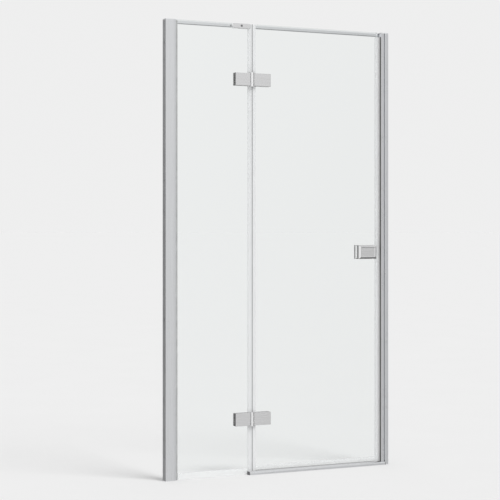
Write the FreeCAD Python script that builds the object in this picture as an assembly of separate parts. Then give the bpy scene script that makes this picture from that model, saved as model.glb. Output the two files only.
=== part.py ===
"""Recess shower door: a fixed glass panel and a hinged glass door between two wall profiles.

Millimetres. The origin is at the middle of the opening, on the tray, in the middle plane of the
glass. X runs to the right as seen from the room, Y into the shower, Z up. The room side is -Y.
"""
import FreeCAD
import Part

import math
import os

Vector = FreeCAD.Vector

# Whole door
overall_width = 1083.0
overall_height = 1950.0
glass_thickness = 8.0
hinge_axis_from_left = 404.0
fixed_glass_bottom = 16.0
door_glass_bottom = 24.0
axis_to_fixed_glass = 6.0
axis_to_door_glass = 6.0

# Fits
cut_overrun = 1.0
parallel_share = 0.1
slide_clearance = 0.3
cap_clearance = 0.3
pin_clearance = 0.05
screw_clearance = 0.1
joint_clearance = 0.2
seal_clearance = 0.6
magnet_clearance = 1.0

# Screws: the large size holds the hinges and the bar clamp, the small one the profiles
large_screw_radius = 3.0
small_screw_radius = 1.75
head_radius_share = 1.7
head_height_share = 1.2
hex_share = 0.85
hex_depth_share = 0.6
hex_sides = 6

# Wall channels, one on each side, with the holes for the wall screws
profile_depth = 34.0
channel_wall = 2.0
left_channel_reach = 40.0
right_channel_reach = 17.0
wall_hole_radius = 3.0
wall_hole_count = 4
wall_hole_margin = 100.0
channel_screw_margin = 160.0
channel_screw_length = 9.0
profile_cap_thickness = 4.0
profile_rounding = 1.0
flange_rounding = 1.5

# Glazing profile, which slides in the left channel and holds the fixed glass
glazing_reach = 47.0
glazing_back = 8.0
glazing_wall = 1.6
pocket_depth = 20.0
gasket_thickness = 3.0
gasket_lip = 12.0
gasket_lip_rise = 2.0
gasket_tip_share = 0.25
glass_edge_gap = 3.0
setting_block_length = 14.0

# Strike profile, which slides in the right channel and carries the fixed magnet
strike_reach = 37.0
strike_head = 15.0
strike_groove_depth = 11.0
strike_back = 4.0
strike_wall = 1.8
strike_threshold_gap = 0.3

# Clear seals
seal_wall = 1.5
seal_base = 2.0
edge_leg_fixed = 9.0
edge_leg_door = 14.0
bulb_wall = 1.1
bottom_leg = 12.0
bottom_base = 3.0
fixed_seal_left_gap = 1.0
fixed_seal_right_gap = 2.0
vane_reach = 5.0
threshold_seal_gap = 0.8
plate_seal_gap = 1.0

# Magnets and the seals that hold them
magnet_leg = 8.0
magnet_hollow = 2.8
chamber_wall = 1.0
magnet_thickness = 4.4
magnet_fit = 0.2
strike_lip = 1.4
strike_lip_margin = 1.5
strike_core_stand = 1.0
magnet_top_gap = 1.0

# Stabiliser bar, its end sockets and the clamp on the fixed glass
bar_height = 16.0
bar_thickness = 9.0
bar_rounding = 4.2
bar_glass_gap = 2.5
bar_end_gap = 3.0
socket_wall = 1.5
socket_base = 2.5
socket_reach = 14.0
socket_screw_length = 9.0
clamp_width = 85.0
clamp_height = 21.0
clamp_thickness = 8.0
clamp_gasket = 1.0
clamp_corner = 9.0
clamp_edge_gap = 1.0
clamp_notch_radius = 5.0
clamp_screw_drop = 10.0
clamp_screw_bite = 5.0

# Hinges
hinge_height_from_end = 240.0
leaf_height = 55.0
leaf_thickness = 12.0
leaf_gasket = 1.0
leaf_start = 9.0
fixed_leaf_reach = 78.5
door_leaf_reach = 88.0
leaf_bevel = 0.8
leaf_screw_shares = (0.28, 0.72)
leaf_front_skin = 2.0
glass_hole_radius = 5.0
knuckle_radius = 8.2
axis_setback = 3.0
barrel_height = 60.0
door_knuckle_height = 26.6
pin_radius = 4.0
pin_head_radius = 6.5
pin_head_height = 1.2
bush_wall = 1.5
bush_flange = 1.0

# Threshold strip
threshold_left_inset = 18.0
threshold_right_gap = 2.0
threshold_front = 25.5
threshold_height = 14.0
threshold_nose_radius = 8.0
threshold_crown_rear = 6.0
threshold_rear = 18.0
threshold_rear_height = 3.0
threshold_wall = 1.8
threshold_cap_thickness = 2.5
threshold_plug = 8.0

# Handle, the same inside and outside
handle_from_strike = 73.75
handle_centre_height = 960.0
handle_width = 91.0
handle_height = 62.0
handle_depth = 25.0
handle_gasket = 1.0
handle_bevel = 8.0
handle_undercut = 6.0
handle_rim = 9.0
handle_recess = 2.5
handle_stud_radius = 2.5
handle_stud_inset = 17.5
handle_stud_skin = 2.0
set_screw_radius = 3.5
set_screw_setback = 9.5
set_screw_mouth_radius = 5.0
set_screw_recess = 5.0
set_screw_socket_share = 0.45

# Places that follow from the sizes
left_wall = -overall_width / 2
right_wall = overall_width / 2
glass_face = glass_thickness / 2
channel_half = profile_depth / 2
channel_inner = channel_half - channel_wall
slide_half = channel_inner - slide_clearance
profile_top = overall_height - profile_cap_thickness
left_profile_face = left_wall + glazing_reach
strike_face = right_wall - strike_reach
axis_x = left_wall + hinge_axis_from_left
fixed_glass_left = left_profile_face - pocket_depth + glass_edge_gap
fixed_glass_right = axis_x - axis_to_fixed_glass
door_glass_left = axis_x + axis_to_door_glass
left_screw_x = left_wall + (glazing_back + glazing_reach - pocket_depth) / 2
right_screw_x = right_wall - (strike_back + right_channel_reach) / 2
leaf_inner = glass_face + leaf_gasket
leaf_outer = leaf_inner + leaf_thickness
axis_y = -leaf_outer + axis_setback
hinge_heights = {
    "lower": hinge_height_from_end,
    "upper": overall_height - hinge_height_from_end,
}
bar_front = glass_face + bar_glass_gap
bar_rear = bar_front + bar_thickness
bar_top = overall_height - socket_wall
bar_bottom = bar_top - bar_height
bar_middle_y = (bar_front + bar_rear) / 2
bar_middle_z = (bar_top + bar_bottom) / 2
socket_bottom = bar_bottom - socket_wall
seal_outer = glass_face + seal_wall
seal_foot = threshold_height + threshold_seal_gap
door_seal_face = door_glass_left - seal_base
magnet_top = socket_bottom - magnet_top_gap
magnet_half = seal_outer - chamber_wall - magnet_fit
chamber_half = magnet_half + magnet_fit
chamber_depth = magnet_thickness + 2 * magnet_fit
strike_magnet_face = strike_face - strike_lip - strike_core_stand
strike_core_rear = strike_magnet_face + chamber_depth + 2 * chamber_wall
magnet_seal_face = strike_magnet_face - magnet_clearance
magnet_hollow_end = magnet_seal_face - chamber_depth - 2 * chamber_wall
door_glass_right = magnet_hollow_end - magnet_hollow - seal_base
clamp_right = fixed_glass_right - clamp_edge_gap
clamp_left = clamp_right - clamp_width
clamp_bottom = overall_height - clamp_height
clamp_inner = glass_face + clamp_gasket
clamp_outer = clamp_inner + clamp_thickness
clamp_screw_x = (clamp_left + clamp_right) / 2
clamp_screw_z = overall_height - clamp_screw_drop
threshold_left = axis_x - threshold_left_inset
threshold_right = right_wall - right_channel_reach - threshold_right_gap
strike_bottom = threshold_height + strike_threshold_gap
handle_x = strike_face - handle_from_strike
handle_inner = glass_face + handle_gasket
handle_outer = handle_inner + handle_depth
handle_stud_end = handle_outer - handle_recess - handle_stud_skin
handle_left = handle_x - handle_width / 2
handle_right = handle_x + handle_width / 2
handle_low = handle_centre_height - handle_height / 2
handle_high = handle_centre_height + handle_height / 2


def box(x_a, x_b, y_a, y_b, z_a, z_b):
    """Block between three pairs of limits, given in either order."""
    low = Vector(min(x_a, x_b), min(y_a, y_b), min(z_a, z_b))
    return Part.makeBox(abs(x_b - x_a), abs(y_b - y_a), abs(z_b - z_a), low)


def upright(points, z_low, z_high):
    """Prism on an outline of (x, y) points, from one height to another."""
    corners = [Vector(x, y, z_low) for x, y in points]
    face = Part.Face(Part.makePolygon(corners + corners[:1]))
    return face.extrude(Vector(0, 0, z_high - z_low))


def lengthwise(points, x_low, x_high):
    """Prism on an outline of (y, z) points, from left to right."""
    corners = [Vector(x_low, y, z) for y, z in points]
    face = Part.Face(Part.makePolygon(corners + corners[:1]))
    return face.extrude(Vector(x_high - x_low, 0, 0))


def round_y(x, z, radius, y_a, y_b):
    """Cylinder that runs front to rear between two limits, given in either order."""
    return Part.makeCylinder(radius, abs(y_b - y_a), Vector(x, min(y_a, y_b), z), Vector(0, 1, 0))


def round_z(x, y, radius, z_low, z_high):
    """Upright cylinder."""
    return Part.makeCylinder(radius, z_high - z_low, Vector(x, y, z_low))


def mirrored(shape):
    """The same shape on the other side of the glass."""
    return shape.mirror(Vector(0, 0, 0), Vector(0, 1, 0))


def joined(first, *others):
    """One solid from pieces that touch or cross."""
    return first.fuse(list(others)).removeSplitter()


def head_radius(radius):
    return radius * head_radius_share


def head_height(radius):
    return radius * head_height_share


def screw(head_top, direction, length, radius):
    """Hex socket screw. head_top is the middle of the head's outer face, length is overall."""
    head = Part.makeCylinder(head_radius(radius), head_height(radius), head_top, direction)
    shank = Part.makeCylinder(radius, length, head_top, direction)
    across = direction.cross(Vector(0, 0, 1))
    up = direction.cross(across)
    corners = []
    for corner in range(hex_sides):
        turn = 2 * math.pi * corner / hex_sides
        arm = radius * hex_share
        corners.append(head_top + across * (arm * math.cos(turn)) + up * (arm * math.sin(turn)))
    hexagon = Part.Face(Part.makePolygon(corners + corners[:1]))
    socket = hexagon.extrude(direction * (radius * hex_depth_share))
    return joined(head, shank).cut(socket)


def wall_channel(wall_x, inward, reach):
    """Channel screwed to a side wall, open towards the glass."""
    web = box(wall_x, wall_x + inward * channel_wall, -channel_half, channel_half, 0, profile_top)
    flange = box(wall_x, wall_x + inward * reach, -channel_half, -channel_inner, 0, profile_top)
    flange = flange.makeFillet(flange_rounding, edges_at(flange, wall_x + inward * reach, -channel_half))
    holes = []
    for height in wall_hole_heights():
        start = Vector(wall_x - inward * cut_overrun, 0, height)
        depth = channel_wall + 2 * cut_overrun
        holes.append(Part.makeCylinder(wall_hole_radius, depth, start, Vector(inward, 0, 0)))
    return joined(web, flange, mirrored(flange)).cut(holes)


def wall_hole_heights():
    """Evenly spaced wall screws."""
    step = (overall_height - 2 * wall_hole_margin) / (wall_hole_count - 1)
    return [wall_hole_margin + step * index for index in range(wall_hole_count)]


def channel_screw_heights():
    """Three screws lock each sliding profile in its channel."""
    return [channel_screw_margin, overall_height / 2, overall_height - channel_screw_margin]


def channel_screw_holes(x):
    """Clearance holes through the rear flange and the sliding profile's rear wall."""
    radius = small_screw_radius + screw_clearance
    inside = channel_half + head_height(small_screw_radius) - channel_screw_length - cut_overrun
    outside = channel_half + cut_overrun
    return [round_y(x, height, radius, inside, outside) for height in channel_screw_heights()]


def channel_screws(x):
    """Pan screws on the shower side, heads seated on the channel's rear flange."""
    top = channel_half + head_height(small_screw_radius)
    screws = []
    for height in channel_screw_heights():
        start = Vector(x, top, height)
        screws.append(screw(start, Vector(0, -1, 0), channel_screw_length, small_screw_radius))
    return Part.makeCompound(screws)


def left_wall_profile():
    return wall_channel(left_wall, 1, left_channel_reach).cut(channel_screw_holes(left_screw_x))


def right_wall_profile():
    return wall_channel(right_wall, -1, right_channel_reach).cut(channel_screw_holes(right_screw_x))


def left_glazing_profile():
    """Hollow section: a back chamber, a glass pocket and a narrow chamber on each side of it."""
    back = left_wall + glazing_back
    pocket_floor = left_profile_face - pocket_depth
    pocket_half = glass_face + gasket_thickness
    inner = slide_half - glazing_wall
    low = -cut_overrun
    high = profile_top + cut_overrun
    body = box(back, left_profile_face, -slide_half, slide_half, 0, profile_top)
    corners = edges_at(body, left_profile_face, -slide_half) + edges_at(body, left_profile_face, slide_half)
    body = body.makeFillet(profile_rounding, corners)
    pocket = box(pocket_floor, left_profile_face + cut_overrun, -pocket_half, pocket_half, low, high)
    chamber = box(back + glazing_wall, pocket_floor - glazing_wall, -inner, inner, low, high)
    side = box(pocket_floor, left_profile_face - glazing_wall, pocket_half + glazing_wall, inner, low, high)
    hollows = [pocket, chamber, side, mirrored(side)]
    holes = channel_screw_holes(left_screw_x) + [socket_screw_hole(left_profile_face, -1)]
    return body.cut(hollows + holes)


def glazing_gasket(top):
    """Wedge gasket between the glass and the pocket, with a lip outside the pocket's mouth."""
    pocket_half = glass_face + gasket_thickness
    lip_start = left_profile_face + slide_clearance
    tip = left_profile_face + gasket_lip
    outline = [
        (fixed_glass_left, glass_face),
        (tip, glass_face),
        (tip - gasket_lip * gasket_tip_share, pocket_half),
        (lip_start, pocket_half + gasket_lip_rise),
        (lip_start, pocket_half),
        (fixed_glass_left, pocket_half),
    ]
    return upright(outline, 0, top)


def left_gasket_front():
    return mirrored(glazing_gasket(profile_top))


def left_gasket_rear():
    """Stops under the bar's end socket."""
    return glazing_gasket(socket_bottom - cap_clearance)


def profile_cap(wall_x, face):
    """End cap on a pair of profiles, with round corners at the free face."""
    cap = box(wall_x, face, -channel_half, channel_half, profile_top, overall_height)
    corners = edges_at(cap, face, -channel_half) + edges_at(cap, face, channel_half)
    return cap.makeFillet(profile_rounding, corners)


def left_profile_cap():
    """End cap over the channel and the glazing profile, slotted for the glass."""
    cap = profile_cap(left_wall, left_profile_face)
    slot_half = glass_face + cap_clearance
    slot_start = fixed_glass_left - cap_clearance
    slot_end = left_profile_face + cut_overrun
    slot = box(slot_start, slot_end, -slot_half, slot_half, 0, overall_height + cut_overrun)
    return cap.cut(slot)


def glass_setting_block():
    """Packer under the fixed glass, inside the glazing profile."""
    right = fixed_glass_left + setting_block_length
    return box(fixed_glass_left, right, -glass_face, glass_face, 0, fixed_glass_bottom)


def leaf_screw_places(side, reach):
    """Left-right places of a leaf's two screws."""
    return [axis_x + side * (leaf_start + share * (reach - leaf_start)) for share in leaf_screw_shares]


def leaf_glass_holes(side, reach):
    holes = []
    for height in hinge_heights.values():
        for x in leaf_screw_places(side, reach):
            ends = (-glass_face - cut_overrun, glass_face + cut_overrun)
            holes.append(round_y(x, height, glass_hole_radius, *ends))
    return holes


def fixed_glass():
    """Fixed panel, with the hinge holes and a notch in its top edge for the clamp screw."""
    top = overall_height
    pane = box(fixed_glass_left, fixed_glass_right, -glass_face, glass_face, fixed_glass_bottom, top)
    rear = glass_face + cut_overrun
    notch = box(
        clamp_screw_x - clamp_notch_radius,
        clamp_screw_x + clamp_notch_radius,
        -rear,
        rear,
        clamp_screw_z,
        top + cut_overrun,
    )
    seat = round_y(clamp_screw_x, clamp_screw_z, clamp_notch_radius, -rear, rear)
    return pane.cut([notch, seat] + leaf_glass_holes(-1, fixed_leaf_reach))


def clip(x_a, x_b, glass_edge, leg, base, foot):
    """Clear clip on a pane's lower edge: legs up both faces, a base, and two thin walls to foot."""
    outline = [
        (-seal_outer, foot),
        (-glass_face, foot),
        (-glass_face, glass_edge - base),
        (glass_face, glass_edge - base),
        (glass_face, foot),
        (seal_outer, foot),
        (seal_outer, glass_edge + leg),
        (glass_face, glass_edge + leg),
        (glass_face, glass_edge),
        (-glass_face, glass_edge),
        (-glass_face, glass_edge + leg),
        (-seal_outer, glass_edge + leg),
    ]
    return lengthwise(outline, x_a, x_b)


def fixed_bottom_seal():
    """Stands on the tray under the fixed panel and stops short of the threshold."""
    left = left_profile_face + gasket_lip + fixed_seal_left_gap
    right = threshold_left - fixed_seal_right_gap
    return clip(left, right, fixed_glass_bottom, bottom_leg, bottom_base, 0)


def door_bottom_seal():
    """Clip under the door with a vane that throws the water back over the threshold."""
    left = door_glass_left + edge_leg_door + cap_clearance
    right = door_glass_right - magnet_leg - cap_clearance
    skirt = clip(left, right, door_glass_bottom, bottom_leg, bottom_base, seal_foot)
    vane = [
        (seal_outer, door_glass_bottom),
        (seal_outer + vane_reach, seal_foot),
        (seal_outer + vane_reach - seal_wall, seal_foot),
        (seal_outer, door_glass_bottom - seal_wall - bottom_base),
    ]
    return joined(skirt, lengthwise(vane, left, right))


def seal_spans():
    """Heights of the three lengths of an upright seal, which the hinges part."""
    half = leaf_height / 2 + plate_seal_gap
    lower = hinge_heights["lower"]
    upper = hinge_heights["upper"]
    return {
        "lower": (seal_foot, lower - half),
        "middle": (lower + half, upper - half),
        "upper": (upper + half, overall_height),
    }


def fixed_edge_seal(z_low, z_high):
    """Clip on the fixed panel's free edge with a hollow bulb that meets the door."""
    edge = fixed_glass_right
    legs = edge - edge_leg_fixed
    bulb_end = door_seal_face - seal_clearance
    open_end = legs - cut_overrun
    low = z_low - cut_overrun
    high = z_high + cut_overrun
    hollow_half = seal_outer - bulb_wall
    clamp_gap = clamp_bottom - plate_seal_gap
    body = box(legs, bulb_end, -seal_outer, seal_outer, z_low, z_high)
    slot = box(open_end, edge, -glass_face, glass_face, low, high)
    hollow = box(edge + seal_base, bulb_end - bulb_wall, -hollow_half, hollow_half, low, high)
    clamp_zone = box(open_end, edge, -clamp_outer, bar_front, clamp_gap, overall_height + cut_overrun)
    return body.cut([slot, hollow, clamp_zone])


def door_edge_seal(z_low, z_high):
    """Clip on the door's hinge edge."""
    right = door_glass_left + edge_leg_door
    body = box(door_seal_face, right, -seal_outer, seal_outer, z_low, z_high)
    low = z_low - cut_overrun
    high = z_high + cut_overrun
    return body.cut(box(door_glass_left, right + cut_overrun, -glass_face, glass_face, low, high))


def strike_profile():
    """Hollow section with a magnet pocket, a deep groove and a tongue that slides in the channel."""
    head_end = strike_face + strike_head
    tongue_start = right_wall - right_channel_reach
    tongue_end = right_wall - strike_back
    groove_half = channel_half - strike_groove_depth
    core_half = chamber_half + chamber_wall
    pocket_half = core_half + cap_clearance
    side_half = channel_half - strike_wall
    inner = slide_half - strike_wall
    bottom = strike_bottom
    low = strike_bottom - cut_overrun
    high = profile_top + cut_overrun
    head = box(strike_face, head_end, -channel_half, channel_half, bottom, profile_top)
    head = head.makeFillet(profile_rounding, edges_along(head, Vector(0, 0, 1)))
    neck = box(head_end, tongue_start, -groove_half, groove_half, bottom, profile_top)
    tongue = box(tongue_start, tongue_end, -slide_half, slide_half, bottom, profile_top)
    pocket_floor = strike_core_rear + cap_clearance
    pocket = box(strike_face - cut_overrun, pocket_floor, -pocket_half, pocket_half, low, high)
    side_start = strike_face + strike_wall
    side = box(side_start, head_end - strike_wall, pocket_half + strike_wall, side_half, low, high)
    chamber = box(tongue_start + strike_wall, tongue_end - strike_wall, -inner, inner, low, high)
    hollows = [pocket, side, mirrored(side), chamber]
    holes = channel_screw_holes(right_screw_x) + [socket_screw_hole(strike_face, 1)]
    return joined(head, neck, tongue).cut(hollows + holes)


def magnet_chamber(face, inward):
    """Space for a magnet behind the face of its seal."""
    start = face + inward * chamber_wall
    end = start + inward * chamber_depth
    low = threshold_height - cut_overrun
    return box(start, end, -chamber_half, chamber_half, low, magnet_top + cut_overrun)


def magnet_strip(face, inward, bottom):
    """Flexible magnet in its seal's chamber."""
    start = face + inward * (chamber_wall + magnet_fit)
    end = start + inward * magnet_thickness
    return box(start, end, -magnet_half, magnet_half, bottom, magnet_top)


def strike_magnet_seal():
    """Dark carrier pressed into the strike pocket, with lips over the profile's face."""
    lip_half = channel_half - strike_lip_margin
    core_half = chamber_half + chamber_wall
    lips = box(strike_face - strike_lip, strike_face, -lip_half, lip_half, strike_bottom, magnet_top)
    core = box(strike_magnet_face, strike_core_rear, -core_half, core_half, strike_bottom, magnet_top)
    return joined(lips, core).cut(magnet_chamber(strike_magnet_face, 1))


def strike_magnet():
    return magnet_strip(strike_magnet_face, 1, strike_bottom)


def door_magnet_seal():
    """Clip on the door's closing edge with a chamber for the magnet and a hollow behind it."""
    legs = door_glass_right - magnet_leg
    low = seal_foot - cut_overrun
    high = magnet_top + cut_overrun
    body = box(legs, magnet_seal_face, -seal_outer, seal_outer, seal_foot, magnet_top)
    slot = box(legs - cut_overrun, door_glass_right, -glass_face, glass_face, low, high)
    hollow_start = door_glass_right + seal_base
    hollow = box(hollow_start, magnet_hollow_end, -chamber_half, chamber_half, low, high)
    return body.cut([slot, hollow, magnet_chamber(magnet_seal_face, -1)])


def door_magnet():
    return magnet_strip(magnet_seal_face, -1, seal_foot)


def right_profile_cap():
    return profile_cap(right_wall, strike_face)


def edges_along(shape, direction):
    """Straight edges of a block that run along a direction."""
    return [edge for edge in shape.Edges if edge.tangentAt(0).cross(direction).Length < parallel_share]


def edges_at(shape, x, y):
    """Upright edges of a block at a corner."""
    found = []
    for edge in edges_along(shape, Vector(0, 0, 1)):
        middle = edge.CenterOfMass
        if math.hypot(middle.x - x, middle.y - y) < joint_clearance:
            found.append(edge)
    return found


def rounded_bar(x_low, x_high, grow):
    """Flat bar section with rounded long edges, grown by an equal wall all round."""
    block = box(x_low, x_high, bar_front - grow, bar_rear + grow, bar_bottom - grow, bar_top + grow)
    return block.makeFillet(bar_rounding, edges_along(block, Vector(1, 0, 0)))


def stabiliser_bar():
    """Runs behind the glass from socket to socket and takes the clamp screw."""
    gap = socket_base + bar_end_gap
    bar = rounded_bar(left_profile_face + gap, strike_face - gap, 0)
    radius = large_screw_radius + screw_clearance
    deepest = bar_front + clamp_screw_bite + cut_overrun
    return bar.cut(round_y(clamp_screw_x, clamp_screw_z, radius, bar_front - cut_overrun, deepest))


def socket_screw_hole(face, outward):
    """Hole in a profile's side face for the screw that holds a bar socket."""
    start = Vector(face - outward * cut_overrun, bar_middle_y, bar_middle_z)
    depth = socket_screw_length + cut_overrun
    radius = small_screw_radius + screw_clearance
    return Part.makeCylinder(radius, depth, start, Vector(outward, 0, 0))


def bar_socket(face, inward):
    """Cup that holds one end of the bar against a profile's side face."""
    mouth = face + inward * socket_reach
    outer = rounded_bar(min(face, mouth), max(face, mouth), socket_wall)
    floor = face + inward * socket_base
    end = mouth + inward * cut_overrun
    cavity = rounded_bar(min(floor, end), max(floor, end), 0)
    radius = small_screw_radius + screw_clearance
    start = Vector(face - inward * cut_overrun, bar_middle_y, bar_middle_z)
    hole = Part.makeCylinder(radius, socket_base + 2 * cut_overrun, start, Vector(inward, 0, 0))
    return outer.cut([cavity, hole])


def bar_socket_screws():
    """One screw through each socket's base into the profile."""
    stand = socket_base + head_height(small_screw_radius)
    screws = []
    for face, outward in ((left_profile_face, -1), (strike_face, 1)):
        top = Vector(face - outward * stand, bar_middle_y, bar_middle_z)
        length = stand + socket_screw_length - cut_overrun
        screws.append(screw(top, Vector(outward, 0, 0), length, small_screw_radius))
    return Part.makeCompound(screws)


def clamp_slab(y_a, y_b, hole_radius):
    """Plate with round corners at the fixed panel's top corner."""
    slab = box(clamp_left, clamp_right, y_a, y_b, clamp_bottom, overall_height)
    slab = slab.makeFillet(clamp_corner, edges_along(slab, Vector(0, 1, 0)))
    hole = round_y(clamp_screw_x, clamp_screw_z, hole_radius, y_a - cut_overrun, y_b + cut_overrun)
    return slab.cut(hole)


def bar_clamp_plate():
    """Front plate with a counterbore for the screw head."""
    plate = clamp_slab(-clamp_outer, -clamp_inner, large_screw_radius + screw_clearance)
    plate = bevelled(plate, -clamp_outer, leaf_bevel)
    radius = head_radius(large_screw_radius) + screw_clearance
    floor = -clamp_outer + head_height(large_screw_radius)
    bore = round_y(clamp_screw_x, clamp_screw_z, radius, -clamp_outer - cut_overrun, floor)
    return plate.cut(bore)


def bar_clamp_gasket():
    return clamp_slab(-clamp_inner, -glass_face, clamp_notch_radius)


def bar_clamp_spacer():
    """Packs the gap between the glass and the bar."""
    return clamp_slab(glass_face, bar_front, large_screw_radius + screw_clearance)


def bar_clamp_screw():
    length = clamp_outer + bar_front + clamp_screw_bite
    start = Vector(clamp_screw_x, -clamp_outer, clamp_screw_z)
    return screw(start, Vector(0, 1, 0), length, large_screw_radius)


def bevelled(shape, y_face, size):
    """Bevel the outer edges of the face that lies at y_face."""
    rim = []
    for face in shape.Faces:
        flat = isinstance(face.Surface, Part.Plane)
        if flat and face.BoundBox.YLength < size and abs(face.CenterOfMass.y - y_face) < size:
            rim = face.OuterWire.Edges
    return shape.makeChamfer(size, rim)


def leaf_plate(side, reach, height):
    """Plain hinge plate on the room side of the glass."""
    start = axis_x + side * leaf_start
    end = axis_x + side * reach
    low = height - leaf_height / 2
    high = height + leaf_height / 2
    return box(start, end, -leaf_outer, -leaf_inner, low, high)


def knuckle(side, z_low, z_high, bore):
    """Length of the barrel, tied to its plate by a web on the shower side."""
    start = axis_x + side * (leaf_start + leaf_bevel)
    web = box(axis_x, start, axis_y, axis_y + knuckle_radius, z_low, z_high)
    barrel = round_z(axis_x, axis_y, knuckle_radius, z_low, z_high)
    return joined(barrel, web), round_z(axis_x, axis_y, bore, z_low - cut_overrun, z_high + cut_overrun)


def leaf_front(side, reach, height, knuckles, bore):
    """Room-side plate with its knuckles and blind screw holes."""
    body = bevelled(leaf_plate(side, reach, height), -leaf_outer, leaf_bevel)
    leaf_low = height - leaf_height / 2
    leaf_high = height + leaf_height / 2
    bores = []
    for z_low, z_high in knuckles:
        part, hole = knuckle(side, z_low, z_high, bore)
        start = axis_x + side * leaf_start
        beyond = axis_x + side * (leaf_start + leaf_bevel + cut_overrun)
        for low, high in ((z_low - cut_overrun, leaf_low), (leaf_high, z_high + cut_overrun)):
            if high > low:
                part = part.cut(box(start, beyond, -leaf_outer, -leaf_inner, low, high))
        body = joined(body, part)
        bores.append(hole)
    holes = []
    for x in leaf_screw_places(side, reach):
        radius = large_screw_radius + screw_clearance
        holes.append(round_y(x, height, radius, -leaf_outer + leaf_front_skin, -leaf_inner + cut_overrun))
    return body.cut(bores + holes)


def fixed_knuckles(height):
    """Heights of the two knuckles on the fixed side."""
    inner = door_knuckle_height / 2 + bush_flange + joint_clearance
    outer = barrel_height / 2
    return [(height - outer, height - inner), (height + inner, height + outer)]


def door_knuckles(height):
    """Heights of the one knuckle on the door side."""
    return [(height - door_knuckle_height / 2, height + door_knuckle_height / 2)]


def hinge_fixed_front(height):
    bore = pin_radius + pin_clearance
    return leaf_front(-1, fixed_leaf_reach, height, fixed_knuckles(height), bore)


def hinge_door_front(height):
    bore = pin_radius + pin_clearance + bush_wall
    return leaf_front(1, door_leaf_reach, height, door_knuckles(height), bore)


def leaf_rear(side, reach, height):
    """Shower-side plate with counterbored screw holes."""
    plate = bevelled(mirrored(leaf_plate(side, reach, height)), leaf_outer, leaf_bevel)
    cuts = []
    for x in leaf_screw_places(side, reach):
        clear = large_screw_radius + screw_clearance
        cuts.append(round_y(x, height, clear, leaf_inner - cut_overrun, leaf_outer + cut_overrun))
        floor = leaf_outer - head_height(large_screw_radius)
        wide = head_radius(large_screw_radius) + screw_clearance
        cuts.append(round_y(x, height, wide, floor, leaf_outer + cut_overrun))
    return plate.cut(cuts)


def leaf_gaskets(side, reach, height):
    """Pair of gaskets between the plates and the glass."""
    start = axis_x + side * leaf_start
    end = axis_x + side * reach
    low = height - leaf_height / 2
    high = height + leaf_height / 2
    sheet = box(start, end, -leaf_inner, -glass_face, low, high)
    for x in leaf_screw_places(side, reach):
        hole = round_y(x, height, glass_hole_radius, -leaf_inner - cut_overrun, -glass_face + cut_overrun)
        sheet = sheet.cut(hole)
    return Part.makeCompound([sheet, mirrored(sheet)])


def leaf_screws(side, reach):
    """Screws of both hinges on one side, driven from the shower side."""
    length = 2 * leaf_outer - leaf_front_skin - screw_clearance
    screws = []
    for height in hinge_heights.values():
        for x in leaf_screw_places(side, reach):
            top = Vector(x, leaf_outer, height)
            screws.append(screw(top, Vector(0, -1, 0), length, large_screw_radius))
    return Part.makeCompound(screws)


def hinge_pin(height):
    """Pin through the barrel, its head on the upper knuckle."""
    half = barrel_height / 2
    shaft = round_z(axis_x, axis_y, pin_radius, height - half, height + half)
    head = round_z(axis_x, axis_y, pin_head_radius, height + half, height + half + pin_head_height)
    return joined(shaft, head)


def hinge_bushes(height):
    """Flanged bushes in the two ends of the door's knuckle."""
    bore = pin_radius + pin_clearance
    sleeve_radius = bore + bush_wall - pin_clearance
    half = door_knuckle_height / 2
    meet = joint_clearance / 2
    bushes = []
    for up in (-1, 1):
        ends = sorted((height + up * meet, height + up * half))
        sleeve = round_z(axis_x, axis_y, sleeve_radius, *ends)
        rim_ends = sorted((height + up * half, height + up * (half + bush_flange)))
        rim = round_z(axis_x, axis_y, knuckle_radius, *rim_ends)
        hole = round_z(axis_x, axis_y, bore, height - barrel_height, height + barrel_height)
        bushes.append(joined(sleeve, rim).cut(hole))
    return Part.makeCompound(bushes)


def door_glass():
    """Door pane, with the hinge holes and the handle holes."""
    heights = (door_glass_bottom, overall_height)
    pane = box(door_glass_left, door_glass_right, -glass_face, glass_face, *heights)
    holes = leaf_glass_holes(1, door_leaf_reach)
    for x in stud_places():
        ends = (-glass_face - cut_overrun, glass_face + cut_overrun)
        holes.append(round_y(x, handle_centre_height, glass_hole_radius, *ends))
    return pane.cut(holes)


def stud_places():
    return [handle_left + handle_stud_inset, handle_right - handle_stud_inset]


def handle_block():
    """Room-side handle: broad bevels, a recessed face with sloping sides, and an undercut to grip."""
    rim = handle_rim
    body = box(handle_left, handle_right, -handle_outer, -handle_inner, handle_low, handle_high)
    body = bevelled(body, -handle_outer, handle_bevel)
    body = bevelled(body, -handle_inner, handle_undercut)
    floor = -handle_outer + handle_recess
    recess_heights = (handle_low + rim, handle_high - rim)
    recess = box(handle_left + rim, handle_right - rim, -handle_outer - cut_overrun, floor, *recess_heights)
    cuts = [bevelled(recess, floor, handle_recess)]
    stud_hole = handle_stud_radius + screw_clearance
    deepest = -handle_stud_end - screw_clearance
    for x in stud_places():
        cuts.append(round_y(x, handle_centre_height, stud_hole, deepest, -handle_inner + cut_overrun))
    place = (stud_places()[1], set_screw_y())
    low = handle_low - cut_overrun
    cuts.append(round_z(*place, set_screw_radius + screw_clearance, low, handle_centre_height))
    cuts.append(round_z(*place, set_screw_mouth_radius, low, handle_low + set_screw_recess))
    return body.cut(cuts)


def set_screw_y():
    """Front to rear place of the room-side set screw, near the stud's end."""
    return -handle_outer + set_screw_setback


def handle_front():
    return handle_block()


def handle_rear():
    return mirrored(handle_block())


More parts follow.
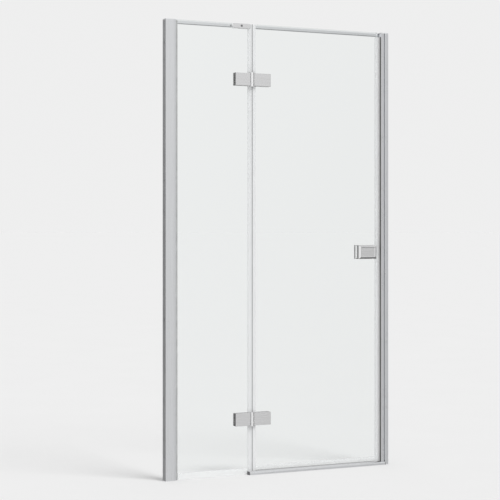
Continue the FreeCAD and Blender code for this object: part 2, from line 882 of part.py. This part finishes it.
def handle_gaskets():
    """Pair of gaskets between the handles and the glass."""
    ends = (-handle_inner - cut_overrun, -glass_face + cut_overrun)
    holes = [round_y(x, handle_centre_height, glass_hole_radius, *ends) for x in stud_places()]
    left = handle_left + handle_undercut
    right = handle_right - handle_undercut
    low = handle_low + handle_undercut
    high = handle_high - handle_undercut
    sheet = box(left, right, -handle_inner, -glass_face, low, high).cut(holes)
    return Part.makeCompound([sheet, mirrored(sheet)])


def handle_studs():
    """Two studs through the glass that tie the handles together."""
    end = handle_stud_end
    studs = [round_y(x, handle_centre_height, handle_stud_radius, -end, end) for x in stud_places()]
    return Part.makeCompound(studs)


def handle_set_screws():
    """One grub screw in each handle's underside, against a stud."""
    top = handle_centre_height - handle_stud_radius - screw_clearance
    low = handle_low + set_screw_recess
    place = (stud_places()[1], set_screw_y())
    socket_radius = set_screw_radius * set_screw_socket_share
    socket = round_z(*place, socket_radius, low - cut_overrun, low + set_screw_radius)
    grub = round_z(*place, set_screw_radius, low, top).cut(socket)
    return Part.makeCompound([grub, mirrored(grub)])


def threshold_face(x, inset):
    """Section of the threshold at x: a round nose, a flat crown and a rear slope, drawn in by inset."""
    front = -threshold_front + inset
    rear = threshold_rear - inset
    top = threshold_height - inset
    radius = threshold_nose_radius - inset
    shoulder = threshold_height - threshold_nose_radius
    crown_front = -threshold_front + threshold_nose_radius
    middle_y = crown_front - radius * math.cos(math.pi / 4)
    middle_z = shoulder + radius * math.sin(math.pi / 4)
    nose = Part.Arc(Vector(x, front, shoulder), Vector(x, middle_y, middle_z), Vector(x, crown_front, top))
    outline = [
        (crown_front, top),
        (threshold_crown_rear, top),
        (rear, threshold_rear_height),
        (rear, inset),
        (front, inset),
        (front, shoulder),
    ]
    corners = [Vector(x, y, z) for y, z in outline]
    edges = [nose.toShape()]
    for start, end in zip(corners, corners[1:]):
        edges.append(Part.makeLine(start, end))
    return Part.Face(Part.Wire(edges))


def threshold_length(x_low, x_high, inset):
    return threshold_face(x_low, inset).extrude(Vector(x_high - x_low, 0, 0))


def threshold_strip():
    """Hollow low strip on the tray under the door."""
    left = threshold_left + threshold_cap_thickness
    right = threshold_right - threshold_cap_thickness
    hollow = threshold_length(left - cut_overrun, right + cut_overrun, threshold_wall)
    return threshold_length(left, right, 0).cut(hollow)


def threshold_cap(end, inward):
    """End cap with a plug that fits the hollow."""
    plate_end = end + inward * threshold_cap_thickness
    plug_end = plate_end + inward * threshold_plug
    plate = threshold_length(min(end, plate_end), max(end, plate_end), 0)
    inset = threshold_wall + cap_clearance
    plug = threshold_length(min(end, plug_end), max(end, plug_end), inset)
    return joined(plate, plug)


def all_parts():
    """Every sub-part by name."""
    parts = {
        "left_wall_profile": left_wall_profile(),
        "left_glazing_profile": left_glazing_profile(),
        "left_gasket_front": left_gasket_front(),
        "left_gasket_rear": left_gasket_rear(),
        "left_profile_cap": left_profile_cap(),
        "left_profile_screws": channel_screws(left_screw_x),
        "glass_setting_block": glass_setting_block(),
        "fixed_glass": fixed_glass(),
        "fixed_bottom_seal": fixed_bottom_seal(),
        "right_wall_profile": right_wall_profile(),
        "strike_profile": strike_profile(),
        "strike_magnet_seal": strike_magnet_seal(),
        "strike_magnet": strike_magnet(),
        "right_profile_cap": right_profile_cap(),
        "right_profile_screws": channel_screws(right_screw_x),
        "stabiliser_bar": stabiliser_bar(),
        "bar_socket_left": bar_socket(left_profile_face, 1),
        "bar_socket_right": bar_socket(strike_face, -1),
        "bar_socket_screws": bar_socket_screws(),
        "bar_clamp_plate": bar_clamp_plate(),
        "bar_clamp_gasket": bar_clamp_gasket(),
        "bar_clamp_spacer": bar_clamp_spacer(),
        "bar_clamp_screw": bar_clamp_screw(),
        "threshold_strip": threshold_strip(),
        "threshold_cap_left": threshold_cap(threshold_left, 1),
        "threshold_cap_right": threshold_cap(threshold_right, -1),
        "hinge_fixed_screws": leaf_screws(-1, fixed_leaf_reach),
        "hinge_door_screws": leaf_screws(1, door_leaf_reach),
        "door_glass": door_glass(),
        "door_bottom_seal": door_bottom_seal(),
        "door_magnet_seal": door_magnet_seal(),
        "door_magnet": door_magnet(),
        "handle_front": handle_front(),
        "handle_rear": handle_rear(),
        "handle_gaskets": handle_gaskets(),
        "handle_studs": handle_studs(),
        "handle_set_screws": handle_set_screws(),
    }
    for place, height in hinge_heights.items():
        parts[place + "_hinge_fixed_front"] = hinge_fixed_front(height)
        parts[place + "_hinge_fixed_rear"] = leaf_rear(-1, fixed_leaf_reach, height)
        parts[place + "_hinge_fixed_gaskets"] = leaf_gaskets(-1, fixed_leaf_reach, height)
        parts[place + "_hinge_pin"] = hinge_pin(height)
        parts[place + "_hinge_door_front"] = hinge_door_front(height)
        parts[place + "_hinge_door_rear"] = leaf_rear(1, door_leaf_reach, height)
        parts[place + "_hinge_door_gaskets"] = leaf_gaskets(1, door_leaf_reach, height)
        parts[place + "_hinge_bushes"] = hinge_bushes(height)
    for place, heights in seal_spans().items():
        parts["fixed_edge_seal_" + place] = fixed_edge_seal(*heights)
        parts["door_edge_seal_" + place] = door_edge_seal(*heights)
    return parts


os.makedirs("parts", exist_ok=True)
for name, shape in all_parts().items():
    shape.exportStep("parts/" + name + ".step")
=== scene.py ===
"""Looks of a hinged recess shower door: finishes, light, floor and camera around its solids.

Metres. X runs to the right as seen from the room, Y into the shower, Z up.
"""

import math

import bpy
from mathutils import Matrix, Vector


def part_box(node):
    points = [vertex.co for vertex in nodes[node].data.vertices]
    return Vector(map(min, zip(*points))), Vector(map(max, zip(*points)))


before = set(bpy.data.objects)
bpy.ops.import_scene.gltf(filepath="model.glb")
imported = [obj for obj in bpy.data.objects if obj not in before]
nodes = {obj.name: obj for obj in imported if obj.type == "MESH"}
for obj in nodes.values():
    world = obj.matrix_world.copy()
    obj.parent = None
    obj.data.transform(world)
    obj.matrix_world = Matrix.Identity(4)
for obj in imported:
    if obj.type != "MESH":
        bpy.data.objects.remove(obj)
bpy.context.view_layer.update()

millimetre = 0.001
# Axes by number
along_x = 0
along_y = 1
along_z = 2

# Camera, worked out from the vanishing directions of the door's edges
camera_place = (-2.8135, -5.691, 1.053)
camera_yaw = 25.15
focal_pixels = 1450.0
picture_pixels = 500.0
horizon_row = 231.3
sensor_width = 36.0
view_end = 4000.0

# Light: brightness of the surroundings, of the soft light on the object and of the one lamp
surroundings = 0.86
ambient = 0.60
sun_strength = 1.6
sun_height = 50.0
sun_turn = 25.0
sun_softness = 30.0
# Tones that metal and glass mirror, from straight down (0) over the horizon (0.5) to straight up (1)
studio_tones = (
    (0.0, 0.62),
    (0.14, 0.68),
    (0.36, 1.14),
    (0.47, 1.16),
    (0.56, 1.36),
    (0.75, 1.25),
    (1.0, 0.9),
)
# Dark flags around the door: direction of the middle, cosines where each starts and is full, depth
studio_flags = (
    ((-0.425, 0.905, 0), 0.91, 0.975, 0.80),
    ((0.87, -0.49, 0), 0.60, 0.95, 0.52),
    ((0.90, 0.43, 0), 0.86, 0.97, 0.82),
    ((0.42, 0.89, 0.17), 0.86, 0.97, 0.45),
    ((0.52, -0.10, -0.85), 0.64, 0.90, 0.58),
    ((-1, 0, 0), 0.78, 0.96, 0.20),
)

# Floor
floor_size = 3000.0
floor_tone = 0.87
floor_unevenness = 0.004
floor_patch = 0.5

# Noise: the middle of its range, its detail from smooth to rich, and the share that finer detail keeps
noise_low = 0.3
noise_high = 0.7
smooth_noise = 1.0
plain_noise = 2.0
rough_noise = 3.0
rich_noise = 4.0
finer_share = 0.6


class Value:
    """A shader socket that can be used in sums."""

    def __init__(self, tree, socket):
        self.tree = tree
        self.socket = socket

    def __add__(self, other):
        return self.tree.maths("ADD", self, other)

    def __radd__(self, other):
        return self.tree.maths("ADD", other, self)

    def __sub__(self, other):
        return self.tree.maths("SUBTRACT", self, other)

    def __rsub__(self, other):
        return self.tree.maths("SUBTRACT", other, self)

    def __mul__(self, other):
        return self.tree.maths("MULTIPLY", self, other)

    def __rmul__(self, other):
        return self.tree.maths("MULTIPLY", other, self)

    def __abs__(self):
        return self.tree.maths("ABSOLUTE", self)


class Nodes:
    """Node tree of a material or of the world."""

    def __init__(self, owner):
        owner.use_nodes = True
        self.tree = owner.node_tree
        self.tree.nodes.clear()

    def node(self, kind, settings, inputs, output=0):
        """Adds a node: its settings first, then the values or links of its sockets."""
        node = self.tree.nodes.new(kind)
        for name, value in settings.items():
            if name == "stops":
                self.set_stops(node.color_ramp, value)
            else:
                setattr(node, name, value)
        for name, value in inputs.items():
            if isinstance(value, Value):
                self.tree.links.new(value.socket, node.inputs[name])
            else:
                node.inputs[name].default_value = value
        if not node.outputs:
            return None
        return Value(self, node.outputs[output])

    def set_stops(self, ramp, stops):
        """Grey stops of a colour ramp, as (place, brightness)."""
        while len(ramp.elements) < len(stops):
            ramp.elements.new(0.5)
        for element, (place, grey) in zip(ramp.elements, stops):
            element.position = place
            element.color = (grey, grey, grey, 1)

    def maths(self, operation, *values):
        """A sum or comparison of one or two values."""
        return self.node("ShaderNodeMath", {"operation": operation}, dict(enumerate(values)))

    def place(self):
        """Where the shaded point lies on the piece."""
        return self.node("ShaderNodeTexCoord", {}, {}, "Object")

    def ray(self, fact):
        """What the light path says about the ray that arrives."""
        return self.node("ShaderNodeLightPath", {}, {}, fact)

    def part_of(self, vector, axis):
        """How far a vector goes along one axis."""
        return self.node("ShaderNodeSeparateXYZ", {}, {0: vector}, axis)

    def grain(self, size, detail=plain_noise):
        """Noise from 0 to 1 whose grains have a size along each axis, in metres."""
        stretch = {0: self.place(), 1: tuple(1 / length for length in size)}
        stretched = self.node("ShaderNodeVectorMath", {"operation": "MULTIPLY"}, stretch)
        inputs = {"Vector": stretched, "Scale": 1.0, "Detail": detail, "Roughness": finer_share}
        return self.node("ShaderNodeTexNoise", {}, inputs)

    def ramp(self, value, start, end, low, high, curve="LINEAR"):
        """From low where the value is at start to high where it is at end, and level beyond."""
        inputs = {"Value": value, "From Min": start, "From Max": end, "To Min": low, "To Max": high}
        return self.node("ShaderNodeMapRange", {"interpolation_type": curve}, inputs)

    def spread(self, noise, low, high):
        """The middle of a noise's range spread between two values."""
        return self.ramp(noise, noise_low, noise_high, low, high)

    def shade(self, colour, strength):
        """A colour made lighter or darker by a value near 1."""
        inputs = {"Vector": colour, "Scale": strength}
        return self.node("ShaderNodeVectorMath", {"operation": "SCALE"}, inputs)

    def blend(self, amount, first, second):
        """From the first colour to the second. The node has its colours at 6 and 7 and their mix at 2."""
        return self.node("ShaderNodeMix", {"data_type": "RGBA"}, {0: amount, 6: first, 7: second}, 2)

    def bump(self, height, depth, normal=None):
        """Surface relief of a depth in metres, on top of another relief if one is given."""
        inputs = {"Height": height, "Distance": depth, "Strength": 1.0}
        if normal:
            inputs["Normal"] = normal
        return self.node("ShaderNodeBump", {}, inputs)

    def finish(self, **inputs):
        """The surface itself; words in a socket's name are joined by underscores."""
        named = {name.replace("_", " "): value for name, value in inputs.items()}
        surface = self.node("ShaderNodeBsdfPrincipled", {}, named)
        self.node("ShaderNodeOutputMaterial", {}, {"Surface": surface})


def new_finish(name):
    material = bpy.data.materials.new(name)
    return material, Nodes(material)


def even(size):
    """Grain of the same size along each axis."""
    return [size] * 3


def drawn_out(width, length, along):
    """Grain that is longer along one axis."""
    size = even(width)
    size[along] = length
    return size


def brushed_metal(name, colour, along, dullness, line_depth):
    """Metal with fine brush lines along one axis, faint broader streaks and soft handling marks."""
    line_size = drawn_out(0.25 * millimetre, 30 * millimetre, along)
    line_tones = (0.985, 1.01)
    streak_size = drawn_out(3 * millimetre, 160 * millimetre, along)
    streak_tones = (0.965, 1.02)
    mark_size = even(70 * millimetre)
    mark_roughness = (-0.02, 0.03)
    unevenness = 0.03
    material, tree = new_finish(name)
    lines = tree.grain(line_size)
    streaks = tree.grain(streak_size)
    marks = tree.grain(mark_size, rich_noise)
    tone = tree.spread(streaks, *streak_tones) * tree.spread(lines, *line_tones)
    roughness = tree.spread(streaks, dullness - unevenness, dullness + unevenness)
    roughness += tree.spread(marks, *mark_roughness)
    roughness += tree.spread(lines, -unevenness, unevenness)
    tree.finish(
        Base_Color=tree.shade(colour, tone),
        Metallic=1.0,
        Roughness=roughness,
        Normal=tree.bump(lines, line_depth),
    )
    return material


def clear_glass(name, node):
    """Toughened glass: faint roller waves, a slight green in the body and more in the ground edges."""
    body_colour = (0.965, 0.982, 0.978, 1)
    edge_colour = (0.62, 0.76, 0.72, 1)
    edge_roughness = (0.2, 0.3)
    edge_band = 0.6 * millimetre
    ground_size = even(0.8 * millimetre)
    wave_size = (0.25, 0.25, 0.05)
    relief_depth = 0.02 * millimetre
    material, tree = new_finish(name)
    low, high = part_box(node)
    place = tree.place()
    inside_x = (high.x - low.x) / 2 - abs(tree.part_of(place, along_x) - (high.x + low.x) / 2)
    inside_z = (high.z - low.z) / 2 - abs(tree.part_of(place, along_z) - (high.z + low.z) / 2)
    edge = tree.ramp(tree.maths("MINIMUM", inside_x, inside_z), 0.0, edge_band, 1.0, 0.0)
    waves = tree.grain(wave_size, smooth_noise)
    ground = tree.grain(ground_size)
    tree.finish(
        Base_Color=tree.blend(edge, body_colour, edge_colour),
        Roughness=edge * tree.spread(ground, *edge_roughness),
        IOR=1.5,
        Transmission_Weight=1.0,
        Normal=tree.bump(ground * edge, relief_depth, tree.bump(waves, relief_depth)),
    )
    return material


def painted_shade_band(node, axis, inset, half_width):
    """Where a clear seal gets a band of painted shade, along its thick wall: an axis, a place near the
    low side of a piece, and a half width.
    """
    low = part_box(node)[0]
    return axis, low[axis] + inset, half_width


def clear_plastic(name, colour, along, clearness, dullness, shade_band=None):
    """Clear flexible plastic, drawn along one axis, faintly cloudy, and darkened as painted shade in a
    band along a thick wall.
    """
    line_size = drawn_out(0.8 * millimetre, 120 * millimetre, along)
    line_depth = 0.003 * millimetre
    unevenness = 0.02
    cloud_size = drawn_out(12 * millimetre, 60 * millimetre, along)
    cloud_tones = (0.985, 1.01)
    cloud_duller = 0.03
    painted_shade_tone = 0.55
    shade_fade = 1.3
    material, tree = new_finish(name)
    lines = tree.grain(line_size)
    cloud = tree.grain(cloud_size, rough_noise)
    tone = tree.spread(cloud, *cloud_tones)
    if shade_band:
        axis, middle, half_width = shade_band
        away = abs(tree.part_of(tree.place(), axis) - middle)
        # painted shade: the band along the thick wall is darkened as if in shadow
        tone *= tree.ramp(away, half_width, shade_fade * half_width, painted_shade_tone, 1.0)
    roughness = tree.spread(cloud, dullness - unevenness, dullness + cloud_duller)
    roughness += tree.spread(lines, -unevenness, unevenness)
    tree.finish(
        Base_Color=tree.shade(colour, tone),
        Roughness=roughness,
        IOR=1.45,
        Transmission_Weight=clearness,
        Normal=tree.bump(lines, line_depth),
    )
    return material


def rubber(name, colour, dullness, body=None, lip_start=0.0):
    """Dull rubber with a fine skin grain, drawing lines and dust; inside lip_start it may be paler."""
    skin_size = even(0.5 * millimetre)
    skin_smoother = 0.05
    skin_duller = 0.08
    line_size = drawn_out(0.6 * millimetre, 90 * millimetre, along_z)
    relief_depth = 0.03 * millimetre
    dust_size = even(40 * millimetre)
    dust_tones = (0.9, 1.15)
    body_tones = (0.95, 1.05)
    material, tree = new_finish(name)
    skin = tree.grain(skin_size, rich_noise)
    lines = tree.grain(line_size)
    dust = tree.grain(dust_size, rich_noise)
    base = tree.shade(colour, tree.spread(dust, *dust_tones))
    if body:
        depth = abs(tree.part_of(tree.place(), along_y))
        inner = tree.maths("LESS_THAN", depth, lip_start)
        base = tree.blend(inner, base, tree.shade(body, tree.spread(dust, *body_tones)))
    tree.finish(
        Base_Color=base,
        Roughness=tree.spread(skin, dullness - skin_smoother, dullness + skin_duller),
        Specular_IOR_Level=0.35,
        Normal=tree.bump(skin + lines, relief_depth),
    )
    return material


def moulded_plastic(name, colour, dullness):
    """Moulded plastic with a spark-eroded grain and a soft sheen."""
    skin_size = even(0.6 * millimetre)
    skin_depth = 0.04 * millimetre
    unevenness = 0.06
    patch_size = even(20 * millimetre)
    patch_tones = (0.95, 1.04)
    material, tree = new_finish(name)
    skin = tree.grain(skin_size, rough_noise)
    patches = tree.grain(patch_size, rough_noise)
    tree.finish(
        Base_Color=tree.shade(colour, tree.spread(patches, *patch_tones)),
        Roughness=tree.spread(skin, dullness - unevenness, dullness + unevenness),
        Normal=tree.bump(skin, skin_depth),
    )
    return material


def dress(material, names):
    """Gives pieces a finish."""
    for name in names:
        mesh = nodes[name].data
        mesh.materials.clear()
        mesh.materials.append(material)


def let_light_through(names):
    """Clear pieces neither shade nor tint what is around them."""
    for name in names:
        piece = nodes[name]
        piece.visible_shadow = False
        piece.visible_diffuse = False
        piece.visible_glossy = False


def of_both_hinges(*pieces):
    return [place + "_hinge_" + piece for place in ("lower", "upper") for piece in pieces]


def of_edge_seals():
    heights = ("lower", "middle", "upper")
    return [side + "_edge_seal_" + height for side in ("fixed", "door") for height in heights]


def dress_metals():
    aluminium = (0.77, 0.78, 0.795)
    chrome = (0.82, 0.82, 0.825)
    steel = (0.62, 0.62, 0.63)
    # painted shade: steel darkened far below the other steel, standing in for the shadow in the clamp
    # screw's hex socket
    painted_shade_steel = (0.30, 0.30, 0.31)
    satin = 0.30
    polished = 0.24
    turned = 0.28
    dull = 0.34
    line_depth = 0.02 * millimetre
    fine_line_depth = 0.015 * millimetre

    uprights = ["left_wall_profile", "left_glazing_profile", "right_wall_profile", "strike_profile"]
    dress(brushed_metal("satin_aluminium_upright", aluminium, along_z, satin, line_depth), uprights)
    level = ["stabiliser_bar", "bar_socket_left", "bar_socket_right", "threshold_strip"]
    dress(brushed_metal("satin_aluminium_level", aluminium, along_x, satin, line_depth), level)
    blocks = ["bar_clamp_plate", "handle_front", "handle_rear"]
    blocks += of_both_hinges("fixed_front", "fixed_rear", "door_front", "door_rear")
    dress(brushed_metal("brushed_chrome", chrome, along_x, polished, fine_line_depth), blocks)
    fasteners = ["left_profile_screws", "right_profile_screws", "bar_socket_screws", "handle_studs"]
    fasteners += ["hinge_fixed_screws", "hinge_door_screws", "handle_set_screws"]
    fasteners += of_both_hinges("pin")
    dress(brushed_metal("turned_steel", steel, along_y, turned, line_depth), fasteners)
    # The clamp screw gets painted shade: its darker steel stands in for the shadow in its hex socket.
    dress(brushed_metal("painted_shade_steel", painted_shade_steel, along_y, dull, line_depth), ["bar_clamp_screw"])


def dress_glass():
    panes = ["fixed_glass", "door_glass"]
    for pane in panes:
        dress(clear_glass("glass_of_" + pane, pane), [pane])
    let_light_through(panes)


def dress_clear_seals():
    # The seals are all one clear plastic, tinted apart as painted light: the hinge-line copy is darker as
    # painted shade, and the foot copies are paler to make up for the shade low down by the threshold.
    shaded_hinge_line_colour = (0.79, 0.80, 0.805)
    strike_colour = (0.82, 0.83, 0.835)
    lightened_foot_colour = (0.88, 0.89, 0.89)
    sheet_colour = (0.90, 0.91, 0.91)
    smooth = 0.10
    soft = 0.35
    clearness = 0.4
    hinge_line_clearness = 0.2
    edge_wall_inset = 0.1 * millimetre
    edge_wall_half = 2.1 * millimetre
    foot_wall_inset = 0.8 * millimetre
    foot_wall_half = 1.6 * millimetre

    # painted shade along the thick wall of the hinge-line seals
    shade_band = painted_shade_band("door_edge_seal_middle", along_x, edge_wall_inset, edge_wall_half)
    hinge_line = clear_plastic(
        "clear_seal_hinge_line", shaded_hinge_line_colour, along_z, hinge_line_clearness, smooth, shade_band
    )
    dress(hinge_line, of_edge_seals())
    strike = clear_plastic("clear_seal_strike", strike_colour, along_z, clearness, smooth)
    dress(strike, ["door_magnet_seal"])
    # painted shade along the thick foot of the door's bottom seal
    shade_band = painted_shade_band("door_bottom_seal", along_z, foot_wall_inset, foot_wall_half)
    door_foot = clear_plastic("clear_seal_door_foot", lightened_foot_colour, along_x, clearness, smooth, shade_band)
    dress(door_foot, ["door_bottom_seal"])
    fixed_foot = clear_plastic("clear_seal_fixed_foot", lightened_foot_colour, along_x, clearness, smooth)
    dress(fixed_foot, ["fixed_bottom_seal"])
    sheets = ["bar_clamp_gasket", "bar_clamp_spacer"]
    dress(clear_plastic("clear_gasket", sheet_colour, along_x, clearness, soft), sheets)
    seals = ["door_magnet_seal", "door_bottom_seal", "fixed_bottom_seal"] + of_edge_seals()
    let_light_through(seals + sheets)


def dress_rubbers():
    grey = (0.42, 0.43, 0.43)
    dark = (0.10, 0.10, 0.10)
    # near black: the seal's own dark rubber, deepened as painted shade for the gap in front of the strike
    black_and_shade = (0.03, 0.03, 0.03)
    pale_body = (0.70, 0.70, 0.70)
    magnet_grey = (0.32, 0.31, 0.30)
    dull_skin = 0.6
    smooth_skin = 0.55
    rough_skin = 0.65
    lip_width = 5.5 * millimetre

    dress(rubber("grey_gasket", grey, dull_skin), ["left_gasket_front", "left_gasket_rear"])
    pads = ["handle_gaskets"] + of_both_hinges("fixed_gaskets", "door_gaskets")
    dress(rubber("dark_pads", dark, dull_skin), pads)
    lip_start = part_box("strike_magnet_seal")[1].y - lip_width
    # The strike seal's front lip is its dark rubber deepened as painted shade for the gap. Further in,
    # its body is paler.
    dress(rubber("black_rubber", black_and_shade, smooth_skin, pale_body, lip_start), ["strike_magnet_seal"])
    dress(rubber("magnet_rubber", magnet_grey, rough_skin), ["strike_magnet", "door_magnet"])


def dress_mouldings():
    silver = (0.68, 0.69, 0.70)
    dark = (0.16, 0.16, 0.17)
    white = (0.86, 0.86, 0.85)
    silky = 0.4
    matte = 0.45

    dress(moulded_plastic("silver_plastic", silver, silky), ["left_profile_cap", "right_profile_cap"])
    ends = ["threshold_cap_left", "threshold_cap_right"]
    dress(moulded_plastic("dark_plastic", dark, matte), ends)
    hidden = ["glass_setting_block"] + of_both_hinges("bushes")
    dress(moulded_plastic("white_plastic", white, matte), hidden)


def studio_tone(tree):
    """Brightness of the studio by direction: a gradient from floor to ceiling, less the dark flags."""
    direction = tree.node("ShaderNodeTexCoord", {}, {}, "Generated")
    height = tree.part_of(direction, along_z) * 0.5 + 0.5
    tone = tree.node("ShaderNodeValToRGB", {"stops": studio_tones}, {"Fac": height}) * surroundings
    for middle, start, full, depth in studio_flags:
        facing = {0: direction, 1: middle}
        cosine = tree.node("ShaderNodeVectorMath", {"operation": "DOT_PRODUCT"}, facing, "Value")
        tone *= tree.ramp(cosine, start, full, 1.0, 1 - depth, "SMOOTHSTEP")
    return tone


def studio_world():
    """Pale surroundings for the eye and through glass, studio tones in metal, plain soft light."""
    world = bpy.data.worlds.new("pale_studio")
    bpy.context.scene.world = world
    tree = Nodes(world)
    seen = tree.maths("MAXIMUM", tree.ray("Is Camera Ray"), tree.ray("Is Glossy Ray"))
    seen = tree.maths("MAXIMUM", seen, tree.ray("Is Transmission Ray"))
    reflected = tree.maths("MINIMUM", tree.ray("Glossy Depth"), 1.0)
    lighting = tree.maths("MINIMUM", tree.ray("Diffuse Depth"), 1.0)
    mirrored = (1 - reflected) * surroundings + reflected * studio_tone(tree)
    seen *= 1 - lighting
    white = (1, 1, 1, 1)
    light = tree.node("ShaderNodeBackground", {}, {"Color": white, "Strength": ambient})
    view = tree.node("ShaderNodeBackground", {}, {"Color": white, "Strength": mirrored})
    both = tree.node("ShaderNodeMixShader", {}, {0: seen, 1: light, 2: view})
    tree.node("ShaderNodeOutputWorld", {}, {"Surface": both})


def studio_sun():
    """One wide soft lamp from above the right of the camera."""
    rotation = (math.radians(90 - sun_height), 0, math.radians(sun_turn))
    bpy.ops.object.light_add(type="SUN", rotation=rotation)
    sun = bpy.context.object
    sun.data.energy = sun_strength
    sun.data.angle = math.radians(sun_softness)
    sun.visible_glossy = False


def studio_floor():
    """Plain pale floor that meets the surroundings without a seam."""
    bpy.ops.object.select_all(action="DESELECT")
    bpy.ops.mesh.primitive_plane_add(size=floor_size)
    floor = bpy.context.object
    floor.name = "floor"
    material, tree = new_finish("pale_floor")
    patches = tree.grain(even(floor_patch))
    tone = tree.spread(patches, floor_tone - floor_unevenness, floor_tone + floor_unevenness)
    surface = tree.node("ShaderNodeBsdfDiffuse", {}, {"Color": tree.shade((1, 1, 1), tone)})
    tree.node("ShaderNodeOutputMaterial", {}, {"Surface": surface})
    floor.data.materials.append(material)
    floor.visible_glossy = False


def studio_camera():
    rotation = (math.pi / 2, 0, math.radians(-camera_yaw))
    bpy.ops.object.camera_add(location=camera_place, rotation=rotation)
    eye = bpy.context.object
    eye.data.sensor_width = sensor_width
    eye.data.lens = focal_pixels * sensor_width / picture_pixels
    eye.data.shift_y = (horizon_row - picture_pixels / 2) / picture_pixels
    eye.data.clip_end = view_end
    bpy.context.scene.camera = eye


dress_metals()
dress_glass()
dress_clear_seals()
dress_rubbers()
dress_mouldings()
studio_world()
studio_sun()
studio_floor()
studio_camera()
bpy.context.scene.view_settings.view_transform = "Standard"
